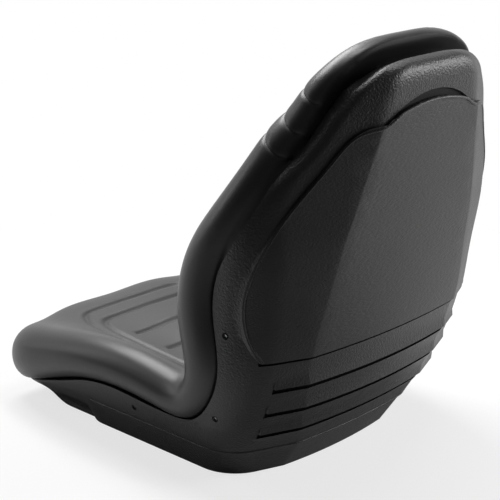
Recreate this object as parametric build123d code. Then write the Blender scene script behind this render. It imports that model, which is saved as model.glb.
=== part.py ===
"""Bucket seat of a garden machine: a moulded back shell and tray that carries a one-piece foam cushion.

Millimetres. X is across the seat, the sitter faces -Y, +Z is up. The origin is the middle of the
bolt pattern on the underside of the base.
"""
from math import acos, cos, hypot, radians, sin, tan
from build123d import *
import os

# Shell
WALL = 5.0
FLOOR = 6.0
TRAY_FLOOR = 9.0
BASE_BAND = 42.0
BASE_STEP = 0.6
BASE_FRONT = -155.0
BASE_FRONT_R = 45.0
FRONT_R = 52.0
NOSE_SHARE = 0.8
TOP = 546.0
DOME_FROM = 500.0
REACH = 700.0

# Height, rear middle y, crease x and y, end of the side facet x and y, corner radius, front y
SECTIONS = [
    (4, 156, 94, 146, 168, 100, 80, -220),
    (12, 164, 97, 154, 173, 110, 76, -264),
    (25, 178, 101, 170, 184, 130, 68, -287),
    (42, 195, 105, 189, 199, 150, 60, -296),
    (60, 206, 113, 199, 206, 162, 60, -298),
    (78, 215, 120, 207, 212, 171, 60, -298),
    (115, 232, 130, 222, 220, 186, 62, -298),
    (150, 243, 137, 233, 225, 197, 66, -298),
    (190, 252.5, 143, 243, 227, 206, 70, -298),
    (260, 266, 136, 258, 228, 216, 72, -298),
    (335, 279, 125, 274, 229, 228, 66, -298),
    (365, 284.5, 118, 280.5, 225, 230, 56, -298),
    (390, 288.5, 112, 285.5, 216, 237, 42, -298),
    (415, 293, 106, 290, 201, 246, 28, -298),
    (440, 297, 100, 295, 177, 259, 20, -298),
    (465, 301.5, 94, 300, 157, 271, 17, -298),
    (495, 306, 87, 305, 138, 281, 16, -298),
    (517, 309, 80, 308, 119, 289, 16, -298),
    (530, 309, 72, 308, 103, 292, 16, -298),
    (538, 306.5, 63, 305.5, 88, 292, 15, -298),
    (543, 301.5, 51, 300.5, 71, 289, 13, -298),
    (545.4, 295, 37, 294, 53, 284.5, 10, -298),
    (TOP, 289, 27, 288, 41, 280, 8, -298),
]
# Outline of the foot, as a row of SECTIONS
FOOT = (0, 168, 100, 161, 178, 132, 60, BASE_FRONT)
CREASE_R = 12.0
SHARP_CREASE_R = 4.0
# The creases fade between these heights to the larger radius, or to a share of their own x
RIM = (450.0, 500.0)
RIM_CREASE_R = 70.0
RIM_CREASE_SHARE = 0.7

# Edge of the shell from the side (y, z), from the front of the tray to the top of the back
EDGE_LINE = [
    (-330, 4), (-257, 28), (-200, 47), (-155, 61), (-110, 76), (-55, 85), (7, 82), (60, 79), (108, 87),
    (140, 116), (162, 158), (165, 190), (159, 243), (168, 297), (187, 331), (212, 371), (230, 412),
    (250, 465), (264, 510), (273, 560), (277, 600),
]

# Raised panel on the back (x, z), right half
PANEL_PROUD = 3.5
PANEL_BOTTOM = 189.0
PANEL_CORNER = (204, PANEL_BOTTOM)
PANEL_SIDE = [(216, 213), (222, 241), (224, 280), (217, 333), (197, 377), (156, 430), (126, 465)]
PANEL_LIP = [(87, 475), (63, 487), (28, 494)]
PANEL_TOP = 496.0
SCOOP_DEPTH = 3.0
SCOOP_TIP = (78, 480)
SCOOP_TOP = 506.0

# Shingle ribs below the panel: upper line, lower line, half length
RIBS = [(163, 149, 181), (127, 113, 180), (92, 78, 176)]
RIB_PROUD = 4.5
RIB_FLUSH = 0.4
RIB_SLOT = 5.0
RIB_SLOT_DEPTH = 3.0

# Cushion
CLEAR = 3.0
CUSHION_FLOOR = 32.0
# Edge point y and z, lean of the section, half width, height of the side roll and of the middle,
# gap to the shell
PAD = [
    (-284, 19, 13, 189, 67, 77, 3),
    (-258, 28, 16, 205, 73, 81, 3),
    (-195, 48.5, 15, 217, 70, 61, 3),
    (-115, 74.5, 8, 222, 60, 31, 3),
    (-30, 84.5, 0, 224, 56, 17, 3),
    (50, 80, 3, 226, 54, 19, 3),
    (106, 86, 24, 229, 54, 20, 3),
    (140, 115, 53, 233, 57, 18, 3),
    (162, 160, 81, 237, 66, 14, 3),
    (160, 235, 89, 240, 72, 13, 3),
    (169, 300, 70, 239, 64, 14, 4),
    (201, 353, 57, 231, 60, 18, 7),
    (232, 400, 57, 212, 63, 22, 11),
    (252, 442, 63, 185, 66, 29, 14),
    (266, 474, 70, 165, 62, 34, 16),
    (274, 503, 74, 151, 57, 41, 16),
    (280, 526, 76, 134, 50, 45, 16),
    (284, 543, 76, 108, 45, 45, 17),
    (286, 552.5, 76, 83, 41, 41, 17),
    (287, 557.5, 76, 58, 37, 37, 20),
    (287.5, 560, 76, 37, 33, 33, 22.5),
    (288, 561, 76, 19, 29.5, 29.5, 25),
]
ROLL = 62.0
ROLL_SHARE = 0.36
# Half outline of a section: way in from its side in widths of the roll, then how much of the roll's
# height and of the middle's height the point has
PAD_SHAPE = [(0.16, 0, 0), (0, 0.42, 0), (0.12, 0.78, 0), (0.5, 1, 0), (1, 0.7, 0.3), (1.6, 0.12, 0.88)]
# More way in at the foot of the roll, in widths of the roll, for each mm of gap
UNDERCUT = 0.018
PAD_OVERLAP = 1.5
PAD_FRONT_R = 14.0

# Fastenings
BOLTS_X = 286.0
BOLTS_Y = 206.0
BOSS_R = 13.0
BOSS_TOP = 26.0
BOLT_WAY_R = 4.5
INSERT_R = 6.5
INSERT_LONG = 18.0
INSERT_FLANGE_R = 9.0
INSERT_FLANGE = 1.5
THREAD_R = 3.4
FLOOR_RIBS_X = [-100.0, 0.0, 100.0]
FLOOR_RIB_Y = (-120.0, 112.0)
FLOOR_RIB = 4.0
ROOT = 1.0
# Side screws (y, z), the same on both sides
SCREWS = [(178, 221), (-9, 65), (150, 101)]
HEAD_R = 4.0
HEAD = 2.2
HEAD_SINK = 2.6
HEAD_ROOM = 0.4
HEAD_EDGE = 0.6
SHANK_R = 2.2
SHANK_ROOM = 0.3
SHANK_LONG = 22.0
TIP_ROOM = 1.0
NUT_R = 5.0
NUT_LONG = 12.0
NUT_FROM = 9.5


def at_height(height):
    """the row of SECTIONS at a height, with straight lines between the rows"""
    for low, high in zip(SECTIONS, SECTIONS[1:]):
        if height <= high[0]:
            break
    part = (height - low[0]) / (high[0] - low[0])
    return tuple(a + (b - a) * part for a, b in zip(low, high))


def inset_corners(points, inset):
    """corners of an open outline, from mid line to mid line, moved inwards"""
    lines = []
    for (ax, ay), (bx, by) in zip(points, points[1:]):
        long = hypot(bx - ax, by - ay)
        ux, uy = (bx - ax) / long, (by - ay) / long
        lines.append((ax + uy * inset, ay - ux * inset, ux, uy))
    corners = [(0, points[0][1] - inset)]
    for (px, py, ux, uy), (qx, qy, vx, vy) in zip(lines, lines[1:]):
        along = ((qx - px) * vy - (qy - py) * vx) / (ux * vy - uy * vx)
        corners.append((px + ux * along, py + uy * along))
    corners.append((0, points[-1][1] + inset))
    return corners


def corner_arc(before, corner, after, radius):
    """start, middle and end of the arc that rounds a corner"""
    ax, ay = before[0] - corner[0], before[1] - corner[1]
    bx, by = after[0] - corner[0], after[1] - corner[1]
    la, lb = hypot(ax, ay), hypot(bx, by)
    ax, ay, bx, by = ax / la, ay / la, bx / lb, by / lb
    half = acos(ax * bx + ay * by) / 2
    reach = radius / tan(half)
    mx, my = ax + bx, ay + by
    lm = hypot(mx, my)
    depth = radius / sin(half) - radius
    start = (corner[0] + ax * reach, corner[1] + ay * reach)
    middle = (corner[0] + mx / lm * depth, corner[1] + my / lm * depth)
    end = (corner[0] + bx * reach, corner[1] + by * reach)
    return start, middle, end


def rim_crease(row):
    """radius of the creases, which fade out in the rim"""
    share = min(1.0, max(0.0, (row[0] - RIM[0]) / (RIM[1] - RIM[0])))
    return min(CREASE_R + (RIM_CREASE_R - CREASE_R) * share, RIM_CREASE_SHARE * row[2])


def section(row, inset=0.0, crease_r=None, front_r=FRONT_R):
    """closed level outline of the shell: middle facet, creases, side facets, corners, sides and front"""
    z, rear, crease_x, crease_y, side_x, side_y, corner_r, front = row
    crease_r = crease_r or rim_crease(row)
    outline = [(0, rear), (crease_x, crease_y), (side_x, side_y), (side_x, front), (0, front)]
    mid, crease, side, nose, end = inset_corners(outline, inset)
    crease_arc = corner_arc(mid, crease, side, max(crease_r - inset, SHARP_CREASE_R))
    side_arc = corner_arc(crease, side, nose, max(corner_r - inset, SHARP_CREASE_R))
    nose_arc = corner_arc(side, nose, end, min(front_r, NOSE_SHARE * side_x) - inset)

    corners = [[(x, y, z) for x, y in arc] for arc in (crease_arc, side_arc, nose_arc)]
    corners += [[(-x, y, z) for x, y, z in reversed(arc)] for arc in reversed(corners)]
    middle = (0, mid[1], z)
    edges = [ThreePointArc(corners[-1][-1], middle, corners[0][0])]
    for arc, following in zip(corners, corners[1:] + [None]):
        edges.append(ThreePointArc(*arc))
        if following:
            edges.append(Line(arc[-1], following[0]))
    return Wire(edges)


def envelope(inset=0.0, crease_r=None, floor=SECTIONS[0][0]):
    """the shell's outer form, or one inset from it, with its domed top lowered by as much"""
    wires = []
    for row in [at_height(floor)] + [row for row in SECTIONS if row[0] > floor]:
        dome = max(0.0, (row[0] - DOME_FROM) / (TOP - DOME_FROM))
        wires.append(section((row[0] - inset * dome,) + row[1:], inset, crease_r))
    return Solid.make_loft(wires)


def behind(edges):
    """solid along Y of an outline drawn from behind, in x and z"""
    return extrude(Plane.XZ * make_face(edges), amount=REACH, both=True)


def across(edges):
    """solid along X of an outline drawn from the side, in y and z"""
    return extrude(Plane.YZ * make_face(edges), amount=REACH, both=True)


def level(low, high):
    """everything between two heights"""
    return Pos(0, 0, (low + high) / 2) * Box(2 * REACH, 2 * REACH, high - low)


def beyond_edge(points):
    """what lies above and in front of an edge line"""
    (y, z), (end_y, end_z) = points[0], points[-1]
    frame = Polyline((end_y, end_z), (-REACH, end_z), (-REACH, z), (y, z))
    return across([Spline(*points), frame])


def across_the_middle(points, top):
    """points of a curve from its right half over its top"""
    return points + [(0, top)] + [(-x, z) for x, z in reversed(points)]


def panel_outline():
    """the raised panel of the back, seen from behind"""
    right, left = PANEL_CORNER, (-PANEL_CORNER[0], PANEL_BOTTOM)
    side = [right, *PANEL_SIDE, PANEL_LIP[0]]
    other = [(-x, z) for x, z in side]
    lip = Spline(*across_the_middle(PANEL_LIP, PANEL_TOP))
    return behind([Line(left, right), Spline(*side), lip, Spline(*other)])


def scoop_outline():
    """the hollow above the panel's lip"""
    ends = across_the_middle([SCOOP_TIP], SCOOP_TOP)
    low = across_the_middle(PANEL_LIP[1:], PANEL_TOP)
    low[0], low[-1] = ends[0], ends[-1]
    return behind([ThreePointArc(*ends), Spline(*low)])


def rib(low, high, half, inner):
    """a shingle across the lower back: flush at its upper line and proud at its lower one"""
    wedge = Solid.make_loft([section(at_height(low), -RIB_PROUD), section(at_height(high), RIB_FLUSH)], True)
    return (wedge & Pos(0, REACH / 2, 0) * Box(2 * half, REACH, 2 * REACH)) - inner


def rib_slot(low, half, inset):
    """the slot under a shingle's lower line"""
    band = Pos(0, REACH / 2, low - RIB_SLOT / 2) * Box(2 * half, REACH, RIB_SLOT)
    return band - inset


def base_block(low, inset):
    """the band round the base, which draws in from its crease to the foot"""
    top = at_height(BASE_BAND)[:-1] + (BASE_FRONT,)
    part = low / BASE_BAND
    foot = tuple(a + (b - a) * part for a, b in zip(FOOT, top))
    return Solid.make_loft([section(row, inset, CREASE_R, BASE_FRONT_R) for row in (foot, top)], True)


def pad_section(row):
    """closed outline of the cushion across its edge line: side rolls, dished middle and flat underside"""
    y, z, lean, half, roll_high, middle_high, gap = row
    up = (-sin(radians(lean)), cos(radians(lean)))
    roll = min(ROLL, half * ROLL_SHARE)
    right = []
    for way_in, roll_share, middle_share in PAD_SHAPE:
        rise = roll_share * (roll_high - gap) + middle_share * (middle_high - gap)
        right.append((half - way_in * roll, gap + rise))
    right[0] = (right[0][0] - UNDERCUT * gap * roll, gap)
    outline = right + [(0, middle_high)] + [(-x, n) for x, n in reversed(right)]
    points = [(x, y + up[0] * n, z + up[1] * n) for x, n in outline]
    return Wire([Spline(*points), Line(points[-1], points[0])])


def pad():
    """the part of the cushion that shows, with its front edge rounded"""
    solid = Solid.make_loft([pad_section(row) for row in PAD])
    front = solid.faces().sort_by(Axis.Y)[0]
    return solid.fillet(PAD_FRONT_R, front.edges())


def plug():
    """the part of the cushion that fills the shell, up to just inside the pad"""
    line = []
    for y, z, lean, _, _, _, gap in PAD:
        reach = gap + PAD_OVERLAP
        line.append((y - sin(radians(lean)) * reach, z + cos(radians(lean)) * reach))
    return envelope(WALL + CLEAR, floor=TRAY_FLOOR) - [beyond_edge(line), level(-REACH, CUSHION_FLOOR)]


def screw_planes(outer):
    """where the side screws stand on the shell, looking out of it"""
    planes = []
    for side in (1, -1):
        for y, z in SCREWS:
            point, normal = outer.find_intersection_points(Axis((side * REACH, y, z), (-side, 0, 0)))[0]
            planes.append(Plane(point, z_dir=normal))
    return planes


def pin(radius, start, end):
    """a round pin along a plane's normal, from one depth under it to another"""
    return Pos(0, 0, -(start + end) / 2) * Cylinder(radius, end - start)


def bolt_places():
    return [Pos(x, y, 0) for x in (-BOLTS_X / 2, BOLTS_X / 2) for y in (-BOLTS_Y / 2, BOLTS_Y / 2)]


def upright(radius, low, high):
    return Pos(0, 0, (low + high) / 2) * Cylinder(radius, high - low)


def insert_body():
    return upright(INSERT_FLANGE_R, 0, INSERT_FLANGE) + upright(INSERT_R, INSERT_FLANGE, INSERT_LONG)


def back_shell(outer, planes):
    """one moulding: the back with its raised panel and shingles, the wings and the tray on its base"""
    inner = envelope(WALL, floor=TRAY_FLOOR)
    panel = envelope(-PANEL_PROUD, SHARP_CREASE_R) & panel_outline()
    shingles = [rib(low, high, half, inner) for high, low, half in RIBS]
    solid = outer + [base_block(0, BASE_STEP), panel, *shingles]
    shallow = envelope(RIB_SLOT_DEPTH)
    hollows = [rib_slot(low, half, shallow) for high, low, half in RIBS]
    hollows.append(scoop_outline() - envelope(SCOOP_DEPTH) - level(-REACH, PANEL_BOTTOM))
    solid = solid - [*hollows, beyond_edge(EDGE_LINE)]
    solid -= inner + base_block(FLOOR, WALL + BASE_STEP)
    rib_long = FLOOR_RIB_Y[1] - FLOOR_RIB_Y[0]
    floor_rib = Box(FLOOR_RIB, rib_long, 2 * CUSHION_FLOOR) & level(FLOOR - ROOT, CUSHION_FLOOR)
    supports = [Pos(x, sum(FLOOR_RIB_Y) / 2, 0) * floor_rib for x in FLOOR_RIBS_X]
    supports += [place * upright(BOSS_R, FLOOR - ROOT, BOSS_TOP) for place in bolt_places()]
    solid += supports
    bolt_way = insert_body() + upright(BOLT_WAY_R, INSERT_LONG, BOSS_TOP)
    holes = [place * bolt_way for place in bolt_places()]
    for plane in planes:
        holes.append(plane * pin(SHANK_R + SHANK_ROOM, 0, 2 * WALL))
        holes.append(plane * pin(HEAD_R + HEAD_ROOM, -HEAD, HEAD_SINK))
    return solid - holes


def seat_cushion(planes):
    """one foam moulding, with pockets for the nuts of the side screws"""
    pockets = []
    for plane in planes:
        pockets.append(plane * pin(NUT_R, WALL, NUT_FROM + NUT_LONG))
        pockets.append(plane * pin(SHANK_R + SHANK_ROOM, NUT_FROM, HEAD_SINK + SHANK_LONG + TIP_ROOM))
    return pad() + plug() - pockets


def side_screw():
    head = pin(HEAD_R, HEAD_SINK - HEAD, HEAD_SINK)
    head = head.chamfer(HEAD_EDGE, None, head.edges().group_by(Axis.Z)[-1])
    return head + pin(SHANK_R, HEAD_SINK, HEAD_SINK + SHANK_LONG)


def cushion_nut():
    return pin(NUT_R, NUT_FROM, NUT_FROM + NUT_LONG) - pin(SHANK_R, NUT_FROM, NUT_FROM + NUT_LONG)


def mounting_insert():
    return insert_body() - upright(THREAD_R, 0, INSERT_LONG)


def main():
    outer = envelope()
    planes = screw_planes(outer)
    nodes = {
        "back_shell": back_shell(outer, planes),
        "seat_cushion": seat_cushion(planes),
        "side_screws": Compound([plane * side_screw() for plane in planes]),
        "cushion_nuts": Compound([plane * cushion_nut() for plane in planes]),
        "mounting_inserts": Compound([place * mounting_insert() for place in bolt_places()]),
    }
    os.makedirs("parts", exist_ok=True)
    for name, shape in nodes.items():
        print(name, shape.is_valid, len(shape.solids()), round(shape.volume))
        export_step(shape, f"parts/{name}.step")


if __name__ == "__main__":
    main()
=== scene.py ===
"""Bucket seat of a garden machine, dressed over its CAD frame: grained shell, moulded cushion, fastenings, studio."""
from math import cos, radians, sin

import bmesh
import bpy
import numpy as np
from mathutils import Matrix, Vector
from mathutils.bvhtree import BVHTree


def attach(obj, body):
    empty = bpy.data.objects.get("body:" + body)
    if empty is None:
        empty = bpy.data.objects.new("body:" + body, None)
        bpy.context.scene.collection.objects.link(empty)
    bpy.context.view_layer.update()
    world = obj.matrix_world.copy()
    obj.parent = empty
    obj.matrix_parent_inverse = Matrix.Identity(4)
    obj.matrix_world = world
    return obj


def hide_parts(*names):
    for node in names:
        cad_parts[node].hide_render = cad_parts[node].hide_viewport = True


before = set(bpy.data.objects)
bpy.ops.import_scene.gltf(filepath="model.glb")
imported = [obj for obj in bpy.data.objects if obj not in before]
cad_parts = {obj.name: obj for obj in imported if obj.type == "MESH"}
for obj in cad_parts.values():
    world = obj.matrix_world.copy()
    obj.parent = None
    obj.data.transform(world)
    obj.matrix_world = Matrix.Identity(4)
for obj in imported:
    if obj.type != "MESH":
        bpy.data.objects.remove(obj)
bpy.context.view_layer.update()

MM = 0.001
BODY = "root"
# How much darker reflections show the floor on the camera's side, and from where to where it fades, in metres
CAMERA_SIDE_DIM = 0.7
CAMERA_SIDE = (-0.62, -0.35)
# From the seat to the middle of the white backdrop
BACKDROP = (-0.727, -0.687, 0.0)

bl_info = {
    "name": "Bucket Seat",
    "version": (1, 0, 0),
    "blender": (4, 5, 0),
    "location": "View3D > Sidebar > Bucket Seat",
    "description": "Moulds the cushion and dresses the shell of a garden machine's bucket seat",
    "category": "Object",
}

# Middle line of the sitter's side, from the front edge of the seat to the top of the back: y and z in mm
SITTING_LINE = [
    (-301, 94), (-280, 106), (-211, 107), (-119, 105), (-30, 101), (49, 99), (98, 104), (126, 126), (148, 162),
    (147, 235), (156, 305), (186, 363), (213, 412), (226, 455), (234, 486), (235, 514), (236, 537), (240, 554),
    (246, 562),
]
# Grooves of the sitter's side: half width x against the way along the middle line, in mm, for the right half
OUTER_GROOVE = [(0, 62), (60, 63), (92, 68), (109, 88), (118, 120), (126, 185), (130, 300), (131, 400),
                (132, 480), (134, 620), (124, 720), (104, 780), (84, 806), (50, 816), (0, 818)]
SEAT_GROOVE = [(0, 100), (70, 101), (92, 108), (102, 130), (108, 180), (114, 300), (115, 372), (106, 392),
               (80, 400), (0, 401)]
BACK_GROOVE = [(0, 492), (80, 493), (106, 502), (116, 524), (118, 620), (110, 700), (94, 750), (76, 772),
               (50, 780), (0, 782)]
# Short grooves across the middle: way along the middle line and half length, in mm
CROSS_GROOVES = [(170, 84), (238, 87), (306, 88), (560, 88), (628, 86), (696, 78)]
# Creases across the upper side rolls: a point on each, y and z in mm, and the slope of its line, in degrees
CREASES = [(246, 504.5, -24), (232, 473, -29), (220, 449, -30)]
# Where the creases begin: half width x and height z between which they deepen, in mm
CREASE_X = (84, 124)
CREASE_Z = (390, 410)
# Edge of the shell behind the upper side rolls: y and z in mm
RIM_LINE = [(159, 243), (168, 297), (187, 331), (212, 371), (230, 412), (250, 465), (264, 510), (273, 560),
            (277, 600)]
# Middle of the panel, and how far inside the panel's edge its bead runs, in mm
PANEL_MIDDLE = (0, 330)
BEAD_IN = 2.0
# How much the panel's bead grows on the lip, and the heights between which it does, in mm
LIP_BEAD_GROWTH = 0.7
LIP_BEAD_Z = (462, 478)
# Hollow above the lip, which takes painted shade: its half width, its top, and the radius of its upper edge, in mm
HOLLOW_HALF = 78
HOLLOW_TOP = 506
HOLLOW_R = 130
# Height of the bead around the base in mm, and where it starts, ends and steps in degrees from +X
BASE_BEAD_Z = 45
BASE_BEAD_TURN = (-28, 210, 2)
# Top and half width of the slots under the ribs, and the height of a slot, in mm
SLOTS = [(149, 181), (113, 180), (78, 176)]
SLOT = 5.0
# Heights between which the shell's rim turns from a wall into a lip, in mm
LIP_HEIGHT = (512, 540)
# The lip's front edge and the crest behind it, y in mm
LIP_RUN = (270, 296)
# Heights between which the side rolls pass into the rounder rolls of the top, in mm
ROUND_FROM = (360, 430)
# Rounds of smoothing for the whole cushion, and then for its upper rolls
SETTLE_ALL = 16
SETTLE_ROLLS = 24
# The shell's finishes, by place in its list of materials: the panel's grain, then painted shade for the slots and the
# groove, then painted shade for the hollow above the lip
PANEL_FINISH, SLOT_PAINTED_SHADE, HOLLOW_PAINTED_SHADE = 1, 2, 3
# Outline of the raised panel on the back, right half, x and z in mm
PANEL = [(204, 189), (216, 213), (222, 241), (224, 280), (217, 333), (197, 377), (156, 430), (126, 465), (87, 475),
         (63, 487), (28, 494), (0, 496)]


def srgb(hex_colour):
    """linear colour of an sRGB hex value"""
    channels = [int(hex_colour[i:i + 2], 16) / 255 for i in (1, 3, 5)]
    return tuple(c / 12.92 if c <= 0.04045 else ((c + 0.055) / 1.055) ** 2.4 for c in channels)


class CushionSettings(bpy.types.PropertyGroup):
    """Shape and skin of the cushion"""
    voxel: bpy.props.FloatProperty(
        name="Remesh size", description="Size of the cushion's mesh", default=2.6 * MM, unit="LENGTH")
    groove_depth: bpy.props.FloatProperty(
        name="Groove depth", description="Depth of the moulded grooves", default=3.4 * MM, unit="LENGTH")
    groove_width: bpy.props.FloatProperty(
        name="Groove half width", description="From a groove's middle to its shoulder", default=4.2 * MM,
        unit="LENGTH")
    crease_depth: bpy.props.FloatProperty(
        name="Crease depth", description="Depth of the creases across the side rolls", default=2.6 * MM,
        unit="LENGTH")
    crease_width: bpy.props.FloatProperty(
        name="Crease half width", description="From a crease's middle to its shoulder", default=2.4 * MM,
        unit="LENGTH")
    trench: bpy.props.FloatProperty(
        name="Trench depth", description="How far the foam draws back behind the rim of the shell", default=14 * MM,
        unit="LENGTH")
    swell: bpy.props.FloatProperty(
        name="Roll swell", description="How far the rounded rolls of the top swell out again", default=1.0 * MM,
        unit="LENGTH")
    skin: bpy.props.FloatVectorProperty(
        name="Skin", description="Colour of the foam's skin", default=srgb("#161515"), subtype="COLOR", size=3)


class ShellSettings(bpy.types.PropertyGroup):
    """Finish of the moulded shell"""
    plastic: bpy.props.FloatVectorProperty(
        name="Plastic", description="Colour of the shell", default=srgb("#141414"), subtype="COLOR", size=3)
    slot_more: bpy.props.FloatProperty(
        name="Slot growth", description="How far the slots under the ribs open downwards", default=2.5 * MM,
        unit="LENGTH")
    bead: bpy.props.FloatProperty(
        name="Bead radius", description="Radius of the bead along the panel's edge", default=1.1 * MM, unit="LENGTH")
    panel_groove: bpy.props.FloatProperty(
        name="Groove radius", description="Radius of the groove under the panel", default=2.6 * MM, unit="LENGTH")
    lip_drop: bpy.props.FloatProperty(
        name="Lip drop", description="Fall of the rim's lip from its crest to its front edge", default=10.0 * MM,
        unit="LENGTH")
    pebble: bpy.props.FloatProperty(
        name="Pebble size", description="Size of the rim's pebble grain", default=2.4 * MM, unit="LENGTH")
    streak: bpy.props.FloatProperty(
        name="Streak size", description="Width of the panel's streaky grain", default=1.8 * MM, unit="LENGTH")


class FasteningSettings(bpy.types.PropertyGroup):
    """Heads of the side screws"""
    recess_rim: bpy.props.FloatProperty(
        name="Recess rim", description="From the edge of a head's flat to its recess", default=1.3 * MM,
        unit="LENGTH")
    recess_depth: bpy.props.FloatProperty(
        name="Recess depth", description="Depth of the recess in a head", default=1.4 * MM, unit="LENGTH")


class StageSettings(bpy.types.PropertyGroup):
    """Floor, light and camera"""
    floor: bpy.props.FloatVectorProperty(
        name="Floor", description="Colour of the floor", default=srgb("#f4f4f4"), subtype="COLOR", size=3)
    azimuth: bpy.props.FloatProperty(
        name="Azimuth", description="Camera's way round the seat", default=radians(133.4), subtype="ANGLE")
    elevation: bpy.props.FloatProperty(
        name="Elevation", description="Camera's height over the horizon", default=radians(17.9), subtype="ANGLE")
    distance: bpy.props.FloatProperty(
        name="Distance", description="From the camera to its aim", default=2.0, unit="LENGTH")
    aim: bpy.props.FloatVectorProperty(
        name="Aim", description="What the camera looks at", default=(0, 0.005, 0.238), subtype="TRANSLATION")
    lens: bpy.props.FloatProperty(name="Lens", description="Focal length in millimetres", default=104.7)


def node(tree, kind, inputs=None, **settings):
    """adds a node with its settings; an input is a value or the output that feeds it"""
    made = tree.nodes.new(kind)
    for name, value in settings.items():
        setattr(made, name, value)
    for name, value in (inputs or {}).items():
        if isinstance(value, bpy.types.NodeSocket):
            tree.links.new(value, made.inputs[name])
        else:
            made.inputs[name].default_value = value
    return made


def new_material(name):
    """an empty node material, its tree and its surface shader"""
    material = bpy.data.materials.new(name)
    material.use_nodes = True
    tree = material.node_tree
    return material, tree, tree.nodes["Principled BSDF"]


def per_mm(size):
    """texture scale that gives a feature of that size, in metres"""
    return 1.0 / size


def deselect_all():
    for piece in bpy.context.selected_objects:
        piece.select_set(False)


def make_active(piece):
    """selects that piece alone, for the operators that follow"""
    deselect_all()
    piece.select_set(True)
    bpy.context.view_layer.objects.active = piece


def copy_of(cad_node, name):
    """a piece of its own from a CAD node, with the node's loose triangles joined"""
    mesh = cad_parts[cad_node].data.copy()
    mesh.materials.clear()
    piece = bpy.data.objects.new(name, mesh)
    bpy.context.scene.collection.objects.link(piece)
    shape = bmesh.new()
    shape.from_mesh(mesh)
    bmesh.ops.remove_doubles(shape, verts=shape.verts, dist=0.02 * MM)
    bmesh.ops.dissolve_degenerate(shape, dist=0.01 * MM, edges=shape.edges)
    shape.to_mesh(mesh)
    shape.free()
    if "custom_normal" in mesh.attributes:
        mesh.attributes.remove(mesh.attributes["custom_normal"])
    return piece


def dress(piece, slot, *cad_nodes):
    """the piece rides on the seat and stands for its CAD nodes; slot is not used"""
    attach(piece, BODY)
    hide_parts(*cad_nodes)


def smooth_line(points, per_span=6):
    """Catmull-Rom line through points, as an array"""
    line = np.array(points, float)
    padded = np.vstack([2 * line[0] - line[1], line, 2 * line[-1] - line[-2]])
    steps = np.linspace(0, 1, per_span, endpoint=False)[:, None]
    runs = []
    for a, b, c, d in zip(padded, padded[1:], padded[2:], padded[3:]):
        bend = 2 * a - 5 * b + 4 * c - d
        twist = 3 * b - a - 3 * c + d
        runs.append(b + 0.5 * ((c - a) * steps + bend * steps ** 2 + twist * steps ** 3))
    return np.vstack(runs + [line[-1:]])


def way_to_line(points, line):
    """for each point, its distance to a line, how far along the line it lies, and 1 or -1 for its side"""
    nearest = np.full(len(points), np.inf)
    along = np.zeros(len(points))
    side = np.ones(len(points))
    run = 0.0
    for a, b in zip(line, line[1:]):
        span = b - a
        length = np.hypot(*span)
        share = np.clip((points - a) @ span / length ** 2, 0, 1)
        way = points - a - share[:, None] * span
        gap = np.hypot(*way.T)
        closer = gap < nearest
        nearest[closer] = gap[closer]
        along[closer] = run + share[closer] * length
        side[closer] = np.sign(span[0] * way[closer, 1] - span[1] * way[closer, 0])
        run += length
    return nearest, along, side


def groove(distance, half_width):
    """depth share of a rounded groove at a distance from its middle"""
    return np.exp(-(distance / half_width) ** 2)


def fade(value, start, end):
    """0 before start and 1 after end, with a soft change between"""
    share = np.clip((value - start) / (end - start), 0, 1)
    return share * share * (3 - 2 * share)


def vertex_array(mesh, field):
    values = np.empty(len(mesh.vertices) * 3)
    mesh.vertices.foreach_get(field, values)
    return values.reshape(-1, 3)


def cushion_depth(points, normals, settings):
    """how far each point of the cushion sinks along its normal, in metres"""
    mm = points / MM
    x = np.abs(mm[:, 0])
    off_line, along, _ = way_to_line(mm[:, 1:], smooth_line(SITTING_LINE))
    sitting = fade(-normals[:, 1] * 0.7 + normals[:, 2] * 0.7, 0.25, 0.6) * (1 - fade(off_line, 30, 45))
    flat = np.column_stack([x, along])
    half_width = settings.groove_width / MM
    sunk = np.zeros(len(mm))
    for line in (OUTER_GROOVE, SEAT_GROOVE, BACK_GROOVE):
        distance = way_to_line(flat, smooth_line(line))[0]
        sunk = np.maximum(sunk, groove(distance, half_width))
    for place, half in CROSS_GROOVES:
        distance = np.hypot(along - place, np.maximum(x - half, 0))
        sunk = np.maximum(sunk, groove(distance, half_width))
    depth = sunk * sitting * settings.groove_depth
    return depth + crease_share(points, normals, settings) * settings.crease_depth


def crease_share(points, normals, settings):
    """depth share of the sharp creases across the upper side rolls"""
    mm = points / MM
    x, y, z = np.abs(mm[:, 0]), mm[:, 1], mm[:, 2]
    share = np.zeros(len(mm))
    for at_y, at_z, slope in CREASES:
        turn = radians(slope)
        distance = (z - at_z) * cos(turn) - (y - at_y) * sin(turn)
        share = np.maximum(share, np.exp(-np.abs(distance) * MM / settings.crease_width))
    outside = 1 - fade(normals[:, 1], 0.75, 0.95)
    return share * fade(x, *CREASE_X) * fade(z, *CREASE_Z) * outside


def trench_depth(points, settings):
    """how far the foam inside the shell draws back from the dropped lip of the rim, in metres"""
    rim = shell_tree()
    high = fade(points[:, 2] / MM, *LIP_HEIGHT)
    gap = np.full(len(points), np.inf)
    for place in np.flatnonzero(high):
        gap[place] = rim.find_nearest(Vector(points[place]))[3] / MM
    distance, _, side = way_to_line(points[:, 1:] / MM, smooth_line(RIM_LINE))
    return settings.trench * high * (1 - fade(gap, 8, 15)) * (1 - fade(distance * side, -2, 4))


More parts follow.
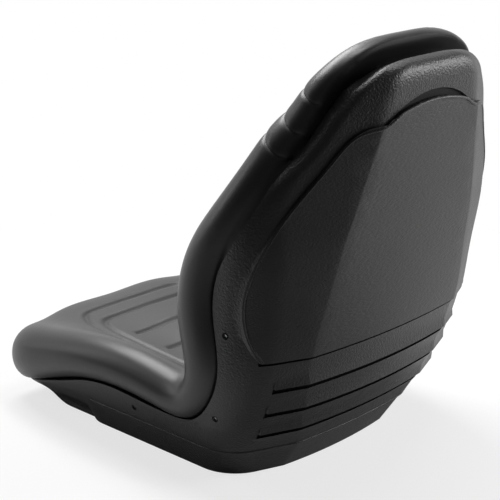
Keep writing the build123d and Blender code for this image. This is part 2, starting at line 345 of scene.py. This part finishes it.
def cushion_skin(settings):
    """Integral-skin polyurethane foam in a fine leather grain: satin, with soft highlights; on the rearward faces of
    the upper rolls its sheen is turned down as painted shade for the dark valley behind them
    """
    material, tree, shader = new_material("integral_skin_foam")
    place = node(tree, "ShaderNodeTexCoord").outputs["Object"]
    grain = node(tree, "ShaderNodeTexVoronoi", {"Vector": place, "Scale": per_mm(1.1 * MM)}, feature="SMOOTH_F1")
    mottle = node(tree, "ShaderNodeTexNoise", {"Vector": place, "Scale": per_mm(60 * MM), "Detail": 3.0})
    dark = tuple(0.85 * c for c in settings.skin) + (1,)
    light = tuple(1.12 * c for c in settings.skin) + (1,)
    tint = node(tree, "ShaderNodeMix", {"Factor": mottle.outputs["Fac"], "A": dark, "B": light}, data_type="RGBA")
    tree.links.new(tint.outputs["Result"], shader.inputs["Base Color"])
    gloss = node(tree, "ShaderNodeMapRange", {"Value": mottle.outputs["Fac"], "To Min": 0.36, "To Max": 0.44})
    tree.links.new(gloss.outputs["Result"], shader.inputs["Roughness"])
    bump = node(tree, "ShaderNodeBump",
                {"Height": grain.outputs["Distance"], "Strength": 0.1, "Distance": 0.15 * MM})
    tree.links.new(bump.outputs["Normal"], shader.inputs["Normal"])
    normal = node(tree, "ShaderNodeNewGeometry").outputs["Normal"]
    facing = node(tree, "ShaderNodeSeparateXYZ", {"Vector": normal})
    height = node(tree, "ShaderNodeSeparateXYZ", {"Vector": place})
    # Painted shade: the sheen falls from 0.5 to 0.04 on rearward faces high up, where the valley between cushion and
    # shell lies in shadow
    rearward = node(tree, "ShaderNodeMapRange", {"Value": facing.outputs["Y"], "From Min": 0.7, "From Max": 0.97},
                    interpolation_type="SMOOTHSTEP")
    raised = node(tree, "ShaderNodeMapRange", {"Value": height.outputs["Z"], "From Min": 0.15, "From Max": 0.3},
                  interpolation_type="SMOOTHSTEP")
    under = node(tree, "ShaderNodeMath", {0: rearward.outputs["Result"], 1: raised.outputs["Result"]},
                 operation="MULTIPLY")
    painted_shade_sheen = node(tree, "ShaderNodeMapRange", {"Value": under.outputs[0], "To Min": 0.5, "To Max": 0.04})
    tree.links.new(painted_shade_sheen.outputs["Result"], shader.inputs["Specular IOR Level"])
    shader.inputs["IOR"].default_value = 1.5
    return material


class SEAT_OT_cushion(bpy.types.Operator):
    """Mould the cushion: remesh its CAD form, settle it and press the grooves and creases in"""
    bl_idname = "bucket_seat.cushion"
    bl_label = "Mould cushion"

    def execute(self, context):
        settings = context.scene.bucket_cushion
        piece = copy_of("seat_cushion", "cushion_moulding")
        make_active(piece)
        piece.data.remesh_voxel_size = settings.voxel
        bpy.ops.object.voxel_remesh()
        self.settle(piece, SETTLE_ALL)
        mesh = piece.data
        points = vertex_array(mesh, "co")
        self.press(mesh, trench_depth(points, settings))
        high = fade(points[:, 2] / MM, *ROUND_FROM)
        group = piece.vertex_groups.new(name="rounder_rolls")
        for place, weight in enumerate(high):
            if weight > 0:
                group.add([place], weight, "REPLACE")
        self.settle(piece, SETTLE_ROLLS, group.name)
        self.press(mesh, -settings.swell * high)
        self.refine(mesh, crease_share(vertex_array(mesh, "co"), vertex_array(mesh, "normal"), settings) > 0.05)
        self.press(mesh, cushion_depth(vertex_array(mesh, "co"), vertex_array(mesh, "normal"), settings))
        piece.vertex_groups.clear()
        bpy.ops.object.shade_smooth()
        mesh.materials.append(cushion_skin(settings))
        dress(piece, "cushion_skin", "seat_cushion")
        return {"FINISHED"}

    def settle(self, piece, iterations, group=""):
        """smooths the foam's form, or only a group of its points"""
        smooth = piece.modifiers.new("settle", "SMOOTH")
        smooth.factor = 0.5
        smooth.iterations = iterations
        smooth.vertex_group = group
        bpy.ops.object.modifier_apply(modifier=smooth.name)

    def refine(self, mesh, chosen):
        """divides the faces of the chosen points"""
        bpy.ops.object.mode_set(mode="EDIT")
        bpy.ops.mesh.select_mode(type="VERT")
        bpy.ops.mesh.select_all(action="DESELECT")
        bpy.ops.object.mode_set(mode="OBJECT")
        mesh.vertices.foreach_set("select", chosen)
        bpy.ops.object.mode_set(mode="EDIT")
        bpy.ops.mesh.subdivide(number_cuts=2, smoothness=0)
        bpy.ops.object.mode_set(mode="OBJECT")

    def press(self, mesh, depth):
        """moves the points inwards along their normals"""
        points = vertex_array(mesh, "co") - vertex_array(mesh, "normal") * depth[:, None]
        mesh.vertices.foreach_set("co", points.ravel())
        mesh.update()


def shell_plastic(settings):
    """Grained polypropylene, moulded: matt, with a pebble grain that breaks up the highlights"""
    material, tree, shader = new_material("grained_polypropylene")
    place = node(tree, "ShaderNodeTexCoord").outputs["Object"]
    wobble = node(tree, "ShaderNodeTexNoise", {"Vector": place, "Scale": per_mm(3 * MM), "Detail": 3.0})
    pebble = node(tree, "ShaderNodeTexVoronoi", {"Vector": place, "Scale": per_mm(settings.pebble)},
                  feature="SMOOTH_F1")
    height = node(tree, "ShaderNodeMath", {0: pebble.outputs["Distance"], 1: wobble.outputs["Fac"]},
                  operation="ADD")
    bump = node(tree, "ShaderNodeBump", {"Height": height.outputs[0], "Strength": 0.9, "Distance": 0.5 * MM})
    tree.links.new(bump.outputs["Normal"], shader.inputs["Normal"])
    shader.inputs["Base Color"].default_value = (*settings.plastic, 1)
    shader.inputs["Roughness"].default_value = 0.42
    shader.inputs["IOR"].default_value = 1.49
    return material


def panel_plastic(settings):
    """The same polypropylene with the panel's finer grain, drawn out in slanting streaks"""
    material, tree, shader = new_material("streaked_polypropylene")
    place = node(tree, "ShaderNodeTexCoord").outputs["Object"]
    turned = node(tree, "ShaderNodeMapping",
                  {"Vector": place, "Rotation": (0, radians(28), 0), "Scale": (0.3, 1, 1)})
    streaks = node(tree, "ShaderNodeTexNoise",
                   {"Vector": turned.outputs["Vector"], "Scale": per_mm(settings.streak), "Detail": 3.0})
    bump = node(tree, "ShaderNodeBump", {"Height": streaks.outputs["Fac"], "Strength": 0.9, "Distance": 0.8 * MM})
    tree.links.new(bump.outputs["Normal"], shader.inputs["Normal"])
    shader.inputs["Base Color"].default_value = (*settings.plastic, 1)
    shader.inputs["Roughness"].default_value = 0.45
    shader.inputs["IOR"].default_value = 1.49
    return material


def painted_shade_plastic(settings, name, painted_shade_sheen):
    """The same polypropylene made darker and duller as painted shade, so that slots and hollows read dark"""
    material, _, shader = new_material(name)
    shader.inputs["Base Color"].default_value = (*(0.4 * c for c in settings.plastic), 1)
    shader.inputs["Roughness"].default_value = 0.8
    shader.inputs["Specular IOR Level"].default_value = painted_shade_sheen
    return material


def inside_outline(points, outline):
    """which points lie inside a closed outline"""
    inside = np.zeros(len(points), bool)
    for (ax, az), (bx, bz) in zip(outline, np.roll(outline, -1, axis=0)):
        spans = (az > points[:, 1]) != (bz > points[:, 1])
        rise = bz - az if bz != az else 1.0
        inside ^= spans & (points[:, 0] < ax + (points[:, 1] - az) / rise * (bx - ax))
    return inside


def shell_tree():
    """the CAD shell, for finding points on its surface"""
    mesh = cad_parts["back_shell"].data
    return BVHTree.FromPolygons([v.co for v in mesh.vertices], [face.vertices for face in mesh.polygons])


def tube(name, points, radius, growth=None):
    """a round bar along points, with a growth of its radius at each point"""
    bpy.ops.object.select_all(action="DESELECT")
    bpy.ops.curve.primitive_nurbs_path_add()
    curve = bpy.context.object.data
    curve.splines.clear()
    spline = curve.splines.new("POLY")
    spline.points.add(len(points) - 1)
    for index, (knot, place) in enumerate(zip(spline.points, points)):
        knot.co = (*place, 1)
        knot.radius = 1.0 if growth is None else growth[index]
    curve.bevel_depth = radius
    curve.bevel_resolution = 3
    curve.use_fill_caps = True
    bpy.ops.object.convert(target="MESH")
    bpy.ops.object.shade_smooth()
    piece = bpy.context.object
    piece.name = name
    return piece


class SEAT_OT_shell(bpy.types.Operator):
    """Dress the shell: drop its lip, open its slots, cut the panel's groove, give the rim and the panel their grain,
    and paint shade into the slots, the groove and the hollow
    """
    bl_idname = "bucket_seat.shell"
    bl_label = "Dress shell"

    def execute(self, context):
        settings = context.scene.bucket_shell
        piece = copy_of("back_shell", "shell_moulding")
        make_active(piece)
        mesh = piece.data
        self.drop_lip(mesh, settings.lip_drop)
        self.widen_slots(mesh, settings.slot_more)
        # Painted shade: darker, duller plastic for the slots, the groove and the hollow above the lip, where shade
        # falls
        slot_painted_shade_finish = painted_shade_plastic(settings, "slot_polypropylene_painted_shade", 0.1)
        hollow_painted_shade_finish = painted_shade_plastic(settings, "hollow_polypropylene_painted_shade", 0.42)
        for plastic in (shell_plastic(settings), panel_plastic(settings), slot_painted_shade_finish, hollow_painted_shade_finish):
            mesh.materials.append(plastic)
        self.cut_groove(piece, settings.panel_groove)
        bpy.ops.object.shade_smooth_by_angle(angle=radians(28))
        right = np.array(PANEL, float)
        outline = np.vstack([right, right[-2::-1] * (-1, 1)])
        middles = np.array([face.center for face in mesh.polygons]) / MM
        facing = np.array([face.normal.y for face in mesh.polygons])
        on_panel = inside_outline(middles[:, [0, 2]], outline) & (facing > 0.1)
        across = np.abs(middles[:, 0])
        in_slot = np.array([face.material_index for face in mesh.polygons]) == SLOT_PAINTED_SHADE
        for top, half in SLOTS:
            low = top - SLOT - settings.slot_more / MM
            between = (middles[:, 2] > low - 0.1) & (middles[:, 2] < top + 0.1)
            in_slot |= between & (across < half + 0.1)
        in_slot &= (facing > -0.6) & (middles[:, 1] > 0)
        lip = np.interp(across, right[::-1, 0], right[::-1, 1])
        arc = HOLLOW_TOP - HOLLOW_R + np.sqrt(HOLLOW_R ** 2 - np.minimum(across, HOLLOW_HALF) ** 2)
        in_hollow = (across < HOLLOW_HALF) & (middles[:, 2] > lip) & (middles[:, 2] < arc) & (facing > 0)
        finish = np.where(in_slot, SLOT_PAINTED_SHADE, np.where(in_hollow, HOLLOW_PAINTED_SHADE, on_panel * PANEL_FINISH))
        mesh.polygons.foreach_set("material_index", finish.astype(np.int32))
        dress(piece, "shell_plastic", "back_shell")
        return {"FINISHED"}

    def cut_groove(self, piece, radius):
        """cuts a groove under the panel's bottom edge and lines it with the slots' painted shade"""
        shell = shell_tree()
        run = np.linspace(-PANEL[0][0], PANEL[0][0], 69) * MM
        height = PANEL[0][1] * MM - 0.8 * radius
        points = [shell.ray_cast(Vector((x, 1, height)), Vector((0, -1, 0)))[0] for x in run]
        cutter = tube("groove_cutter", points, radius)
        cutter.data.materials.append(piece.data.materials[SLOT_PAINTED_SHADE])
        make_active(piece)
        cut = piece.modifiers.new("groove", "BOOLEAN")
        cut.operation = "DIFFERENCE"
        cut.object = cutter
        cut.solver = "EXACT"
        cut.material_mode = "TRANSFER"
        bpy.ops.object.modifier_apply(modifier=cut.name)
        bpy.data.objects.remove(cutter)

    def widen_slots(self, mesh, more):
        """lowers the bottom wall of each slot under a rib"""
        points = vertex_array(mesh, "co")
        for top, half in SLOTS:
            wall = (np.abs(points[:, 2] / MM - top + SLOT) < 0.05) & (np.abs(points[:, 0]) < (half + 1) * MM)
            points[wall & (points[:, 1] > 0), 2] -= more
        mesh.vertices.foreach_set("co", points.ravel())
        mesh.update()

    def drop_lip(self, mesh, drop):
        """slopes the rim's top down to the cushion, so that it falls away behind its crest"""
        points = vertex_array(mesh, "co")
        points[:, 2] -= drop * fade(points[:, 2] / MM, *LIP_HEIGHT) * (1 - fade(points[:, 1] / MM, *LIP_RUN))
        mesh.vertices.foreach_set("co", points.ravel())
        mesh.update()


class SEAT_OT_beads(bpy.types.Operator):
    """Run thin beads along the panel's edge and around the base, which catch the light as fine lines"""
    bl_idname = "bucket_seat.beads"
    bl_label = "Run beads"

    def execute(self, context):
        settings = context.scene.bucket_shell
        shell = shell_tree()
        right = smooth_line(PANEL)
        way = np.array(PANEL_MIDDLE, float) - right
        right = right + way / np.hypot(*way.T)[:, None] * BEAD_IN
        path = np.vstack([right, right[-2::-1] * (-1, 1)]) * MM
        panel = [shell.ray_cast(Vector((x, 1, z)), Vector((0, -1, 0)))[0] for x, z in path]
        base = []
        for turn in np.radians(np.arange(*BASE_BEAD_TURN)):
            out = Vector((cos(turn), sin(turn), 0))
            base.append(shell.ray_cast(out + Vector((0, 0, BASE_BEAD_Z * MM)), -out)[0])
        plastic = shell_plastic(settings)
        lip_growth = 1 + LIP_BEAD_GROWTH * fade(path[:, 1] / MM, *LIP_BEAD_Z)
        for name, points, growth in (("panel_bead", panel, lip_growth), ("base_bead", base, None)):
            piece = tube(name, points, settings.bead, growth)
            piece.data.materials.append(plastic)
            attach(piece, BODY)
        return {"FINISHED"}


def cloudy_metal(name, colour, cloud, smoothest, roughest):
    """a bare metal whose gloss varies in clouds of a size in metres"""
    material, tree, shader = new_material(name)
    place = node(tree, "ShaderNodeTexCoord").outputs["Object"]
    noise = node(tree, "ShaderNodeTexNoise", {"Vector": place, "Scale": per_mm(cloud), "Detail": 2.0})
    gloss = node(tree, "ShaderNodeMapRange",
                 {"Value": noise.outputs["Fac"], "To Min": smoothest, "To Max": roughest})
    tree.links.new(gloss.outputs["Result"], shader.inputs["Roughness"])
    shader.inputs["Base Color"].default_value = (*srgb(colour), 1)
    shader.inputs["Metallic"].default_value = 1.0
    return material


def zinc_plate():
    """Zinc-plated steel: cool grey, slightly cloudy"""
    return cloudy_metal("zinc_plated_steel", "#c4c5c6", 2 * MM, 0.28, 0.42)


def painted_shade_steel():
    """Near-black steel with a satin gloss: painted shade, for the dark ring of shadow round each sunk screw"""
    return cloudy_metal("near_black_steel_painted_shade", "#1c1c1e", 1.5 * MM, 0.24, 0.4)


def turned_brass():
    """Plain turned brass: warm yellow, slightly cloudy"""
    return cloudy_metal("turned_brass", "#c9a35a", 3 * MM, 0.25, 0.4)


class SEAT_OT_fastenings(bpy.types.Operator):
    """Sink a round recess in each screw's head, and give screws, nuts and inserts their metals; the screws are near
    black as painted shade round a zinc recess floor
    """
    bl_idname = "bucket_seat.fastenings"
    bl_label = "Make fastenings"

    def execute(self, context):
        settings = context.scene.bucket_fastenings
        piece = copy_of("side_screws", "recessed_screws")
        zinc = zinc_plate()
        # Painted shade: all of each screw is near black except its recess floor, for the shadowed hole it sits in
        piece.data.materials.append(painted_shade_steel())
        piece.data.materials.append(zinc)
        make_active(piece)
        self.select_head_tops(piece.data)
        bpy.ops.object.mode_set(mode="EDIT")
        bpy.ops.mesh.select_mode(type="FACE")
        bpy.ops.mesh.inset(thickness=settings.recess_rim)
        bpy.ops.mesh.extrude_region_shrink_fatten(
            TRANSFORM_OT_shrink_fatten={"value": -settings.recess_depth, "use_even_offset": False})
        piece.active_material_index = 1
        bpy.ops.object.material_slot_assign()
        bpy.ops.object.mode_set(mode="OBJECT")
        bpy.ops.object.shade_smooth_by_angle(angle=radians(30))
        dress(piece, "screw_steel", "side_screws")
        for name, metal in (("cushion_nuts", zinc), ("mounting_inserts", turned_brass())):
            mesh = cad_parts[name].data
            mesh.materials.clear()
            mesh.materials.append(metal)
        return {"FINISHED"}

    def select_head_tops(self, mesh):
        """selects the flat outer faces of the heads: the faces that look straight out along a screw"""
        shape = bmesh.new()
        shape.from_mesh(mesh)
        left = set(shape.verts)
        while left:
            screw, edge = set(), [left.pop()]
            while edge:
                point = edge.pop()
                screw.add(point)
                near = {line.other_vert(point) for line in point.link_edges} & left
                left -= near
                edge += near
            faces = {face for point in screw for face in point.link_faces}
            places = np.array([point.co for point in sorted(screw, key=lambda point: point.index)])
            along = Vector(np.linalg.svd(places - places.mean(axis=0), full_matrices=False)[2][0])
            along *= 1 if along.x * places[0, 0] > 0 else -1
            tip = max(point.co.dot(along) for point in screw)
            for face in faces:
                at_tip = face.calc_center_median().dot(along) > tip - 0.1 * MM
                face.select = at_tip and face.normal.dot(along) > 0.98
        shape.to_mesh(mesh)
        shape.free()


def seen(tree, side):
    """1 for rays that show the white backdrop: the camera's, and reflections on the backdrop's side of the seat"""
    ray = node(tree, "ShaderNodeLightPath")
    mirrored = node(tree, "ShaderNodeMath", {0: ray.outputs["Is Glossy Ray"], 1: side}, operation="MULTIPLY")
    direct = node(tree, "ShaderNodeMath", {0: ray.outputs["Is Camera Ray"], 1: ray.outputs["Is Transmission Ray"]},
                  operation="MAXIMUM")
    shown = node(tree, "ShaderNodeMath", {0: direct.outputs[0], 1: mirrored.outputs[0]}, operation="MAXIMUM")
    return shown.outputs[0]


def backdrop_side(tree, place, start, end):
    """0 on the camera's side of the seat and 1 on the backdrop's side"""
    way = node(tree, "ShaderNodeVectorMath", {0: place, 1: BACKDROP}, operation="DOT_PRODUCT")
    return node(tree, "ShaderNodeMapRange", {"Value": way.outputs["Value"], "From Min": start, "From Max": end},
                interpolation_type="SMOOTHSTEP").outputs["Result"]


def floor_material(settings):
    """Matt studio paper, white to the camera with the seat's shadow on it, dimmer in reflections near the camera"""
    material, tree, shader = new_material("studio_paper")
    shader.inputs["Base Color"].default_value = (*settings.floor, 1)
    shader.inputs["Roughness"].default_value = 0.9
    place = node(tree, "ShaderNodeTexCoord").outputs["Object"]
    away = node(tree, "ShaderNodeVectorMath", {0: place}, operation="LENGTH")
    white = node(tree, "ShaderNodeMapRange", {"Value": away.outputs["Value"], "From Min": 0.35, "From Max": 1.0,
                                              "To Min": 0.72, "To Max": 1.0}, interpolation_type="SMOOTHSTEP")
    ray = node(tree, "ShaderNodeLightPath")
    far = backdrop_side(tree, place, *CAMERA_SIDE)
    near = node(tree, "ShaderNodeMath", {0: 1.0, 1: far}, operation="SUBTRACT")
    mirrored = node(tree, "ShaderNodeMath", {0: near.outputs[0], 1: ray.outputs["Is Glossy Ray"]},
                    operation="MULTIPLY")
    dim = node(tree, "ShaderNodeMath", {0: mirrored.outputs[0], 1: CAMERA_SIDE_DIM}, operation="MULTIPLY")
    dark = node(tree, "ShaderNodeEmission", {"Color": (0, 0, 0, 1), "Strength": 0.0})
    paper = node(tree, "ShaderNodeMixShader", {0: dim.outputs[0], 1: shader.outputs["BSDF"], 2: dark.outputs[0]})
    shown = seen(tree, backdrop_side(tree, place, 0.2, 0.8))
    share = node(tree, "ShaderNodeMath", {0: white.outputs["Result"], 1: shown}, operation="MULTIPLY")
    glow = node(tree, "ShaderNodeEmission", {"Color": (1, 1, 1, 1), "Strength": 1.0})
    mix = node(tree, "ShaderNodeMixShader", {0: share.outputs[0], 1: paper.outputs[0], 2: glow.outputs[0]})
    tree.links.new(mix.outputs[0], tree.nodes["Material Output"].inputs["Surface"])
    return material


class SEAT_OT_stage(bpy.types.Operator):
    """Set the floor, the lamps and the camera"""
    bl_idname = "bucket_seat.stage"
    bl_label = "Set stage"

    def execute(self, context):
        settings = context.scene.bucket_stage
        scene = context.scene
        scene.view_settings.view_transform = "Standard"
        deselect_all()
        bpy.ops.mesh.primitive_plane_add(size=12, location=(0, 0, 0))
        floor = context.object
        floor.name = "studio_floor"
        floor.data.materials.append(floor_material(settings))
        self.light_world(scene)
        self.hang_lamps()
        self.place_camera(scene, settings)
        return {"FINISHED"}

    def light_world(self, scene):
        world = bpy.data.worlds.new("studio")
        scene.world = world
        world.use_nodes = True
        tree = world.node_tree
        tree.nodes["Background"].inputs["Color"].default_value = (1, 1, 1, 1)
        direction = node(tree, "ShaderNodeTexCoord").outputs["Generated"]
        shown = seen(tree, backdrop_side(tree, direction, 0.0, 0.6))
        strength = node(tree, "ShaderNodeMapRange", {"Value": shown, "To Min": 0.1, "To Max": 1.0})
        tree.links.new(strength.outputs["Result"], tree.nodes["Background"].inputs["Strength"])

    def hang_lamps(self):
        # Name, place, aim, width, height, watts
        lamps = [
            ("top_softbox", (-0.4, -1.2, 2.0), (0, 0, 0.3), 1.4, 1.0, 45),
            ("back_softbox", (-1.35, 1.4, 0.85), (0, 0.25, 0.4), 0.9, 0.7, 22),
            ("overhead_strip", (-0.5, 0.1, 2.2), (0, 0.2, 0.4), 0.8, 0.4, 12),
            ("side_strip", (1.1, -1.7, 1.1), (0, 0, 0.25), 0.4, 1.4, 6),
        ]
        for name, place, aim, width, height, watts in lamps:
            data = bpy.data.lights.new(name, "AREA")
            data.shape = "RECTANGLE"
            data.size = width
            data.size_y = height
            data.energy = watts
            lamp = bpy.data.objects.new(name, data)
            bpy.context.scene.collection.objects.link(lamp)
            lamp.location = place
            lamp.rotation_euler = (Vector(aim) - Vector(place)).to_track_quat("-Z", "Y").to_euler()
            lamp.visible_camera = False

    def place_camera(self, scene, settings):
        data = bpy.data.cameras.new("photo_camera")
        data.lens = settings.lens
        data.sensor_width = 36
        camera = bpy.data.objects.new("photo_camera", data)
        scene.collection.objects.link(camera)
        turn, rise = settings.azimuth, settings.elevation
        back = Vector((sin(turn) * cos(rise), -cos(turn) * cos(rise), sin(rise)))
        camera.location = Vector(settings.aim) + back * settings.distance
        camera.rotation_euler = (-back).to_track_quat("-Z", "Y").to_euler()
        scene.camera = camera


class SEAT_PT_panel(bpy.types.Panel):
    """Lists the seat's operators"""
    bl_label = "Bucket Seat"
    bl_idname = "SEAT_PT_panel"
    bl_space_type = "VIEW_3D"
    bl_region_type = "UI"
    bl_category = "Bucket Seat"

    def draw(self, context):
        for operator in OPERATORS:
            self.layout.operator(operator.bl_idname)


OPERATORS = (SEAT_OT_shell, SEAT_OT_beads, SEAT_OT_cushion, SEAT_OT_fastenings, SEAT_OT_stage)
GROUPS = {"bucket_cushion": CushionSettings, "bucket_shell": ShellSettings,
          "bucket_fastenings": FasteningSettings, "bucket_stage": StageSettings}


def register():
    for name, group in GROUPS.items():
        bpy.utils.register_class(group)
        setattr(bpy.types.Scene, name, bpy.props.PointerProperty(type=group))
    for operator in OPERATORS:
        bpy.utils.register_class(operator)
    bpy.utils.register_class(SEAT_PT_panel)


def unregister():
    bpy.utils.unregister_class(SEAT_PT_panel)
    for operator in reversed(OPERATORS):
        bpy.utils.unregister_class(operator)
    for name, group in GROUPS.items():
        delattr(bpy.types.Scene, name)
        bpy.utils.unregister_class(group)


def main():
    register()
    bpy.ops.bucket_seat.shell()
    bpy.ops.bucket_seat.beads()
    bpy.ops.bucket_seat.cushion()
    bpy.ops.bucket_seat.fastenings()
    bpy.ops.bucket_seat.stage()


if __name__ == "__main__":
    main()
